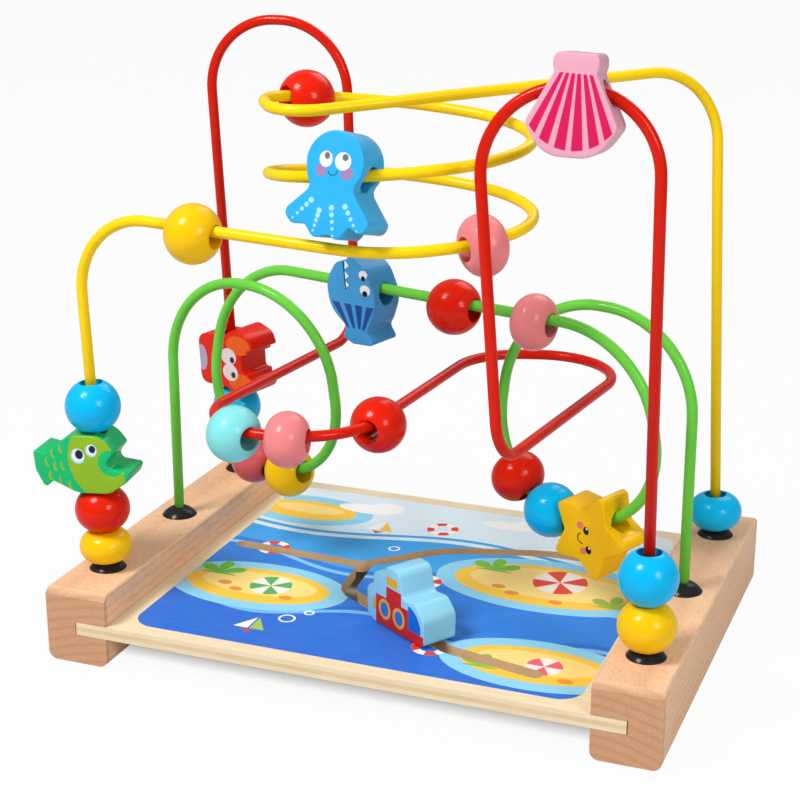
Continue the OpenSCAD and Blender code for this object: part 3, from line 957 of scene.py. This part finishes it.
# %% [markdown]
# ## Floor
# The toy stands on white studio paper, lit so brightly that it has almost no shade. The camera sees it glow,
# while the toy still gets its soft bounce from plain paper. Under the toy the glow ends, so that the slot
# looks into shade.

# %% Floor
floor_half = 6.0
floor_gap = 0.2 * MM
camera_glow = 0.95
shade_half = Vector((120.0, 76.0)) * MM
shade_edge = 20 * MM


def white_sweep():
    """White paper that glows for the camera, but not under the toy."""
    material, shader, point = new_finish("white_floor", 0.9)
    paper = point.noise(30.0)
    feed(paper.mix(ink(0.80, 0.80, 0.80), ink(0.82, 0.82, 0.82)), shader, "Base Color")
    tree = material.node_tree
    seen = Flow(tree, tree.nodes.new("ShaderNodeLightPath").outputs["Is Camera Ray"])
    past_sides = point.along((1, 0, 0)).size() - shade_half.x
    past_front = point.along((0, 1, 0)).size() - shade_half.y
    clear_of_toy = past_sides.higher(past_front).inside(shade_edge)
    glow = seen.node("ShaderNodeEmission", {}, {"Color": (1, 1, 1, 1), "Strength": 1.0})
    shares = {0: seen * clear_of_toy * camera_glow, 1: Flow(tree, shader.outputs[0]), 2: glow}
    blend = seen.node("ShaderNodeMixShader", {}, shares)
    tree.links.new(blend.socket, tree.nodes["Material Output"].inputs["Surface"])
    return material


bm = bmesh.new()
bmesh.ops.create_grid(bm, x_segments=1, y_segments=1, size=floor_half)
bmesh.ops.translate(bm, verts=bm.verts, vec=(0, 0, cad_box[0][2] - floor_gap))
floor_mesh = bpy.data.meshes.new("floor")
bm.to_mesh(floor_mesh)
bm.free()
floor_mesh.materials.append(white_sweep())
floor = bpy.data.objects.new("floor", floor_mesh)
bpy.context.scene.collection.objects.link(floor)

# %% [markdown]
# ## Light
# One soft box stands over the left shoulder, a weaker one on the right and one behind, under an even sky. At
# this level a colour comes out about as it was written.

# %% World and lamps
world_level = 0.32
toy_middle = Vector((0, 0, 0.13))
world = bpy.data.worlds.new("studio")
bpy.context.scene.world = world
world.use_nodes = True
sky = world.node_tree.nodes["Background"]
sky.inputs["Color"].default_value = (1, 1, 1, 1)
rays = Flow(world.node_tree, world.node_tree.nodes.new("ShaderNodeLightPath").outputs["Is Camera Ray"])
world.node_tree.links.new((rays * (1.0 - world_level) + world_level).socket, sky.inputs["Strength"])


def soft_box(name, place, size, power):
    """A square soft lamp that faces the toy's middle."""
    lamp = bpy.data.lights.new(name, "AREA")
    lamp.shape = "SQUARE"
    lamp.size = size
    lamp.energy = power
    holder = bpy.data.objects.new(name, lamp)
    holder.location = place
    holder.rotation_euler = (toy_middle - Vector(place)).to_track_quat("-Z", "Y").to_euler()
    bpy.context.scene.collection.objects.link(holder)


soft_box("key_box", (-0.55, -0.75, 1.25), 0.45, 17.0)
soft_box("fill_box", (1.05, -0.75, 0.7), 0.5, 6.5)
soft_box("rim_box", (0.2, 1.0, 1.1), 0.8, 5.0)

# %% [markdown]
# ## Camera
# The camera stands where the photographer stood: 21 degrees round to the right and 18 degrees up. The lens
# follows from the photo's width and its focal length in pixels.

# %% Camera
camera_azimuth = math.radians(21.16)
camera_elevation = math.radians(18.24)
camera_place = Vector((0.2756, -0.7180, 0.3620))
photo_width = 800
focal_pixels = 1760.7
look = Vector((-math.sin(camera_azimuth) * math.cos(camera_elevation),
               math.cos(camera_azimuth) * math.cos(camera_elevation), -math.sin(camera_elevation)))
lens = bpy.data.cameras.new("photo_camera")
lens.sensor_fit = "HORIZONTAL"
lens.sensor_width = 36.0
lens.lens = focal_pixels / photo_width * lens.sensor_width
camera = bpy.data.objects.new("photo_camera", lens)
camera.location = camera_place
camera.rotation_euler = look.to_track_quat("-Z", "Y").to_euler()
bpy.context.scene.collection.objects.link(camera)
bpy.context.scene.camera = camera
bpy.context.scene.view_settings.view_transform = "Standard"
print("camera: lens", round(lens.lens, 1), "mm")
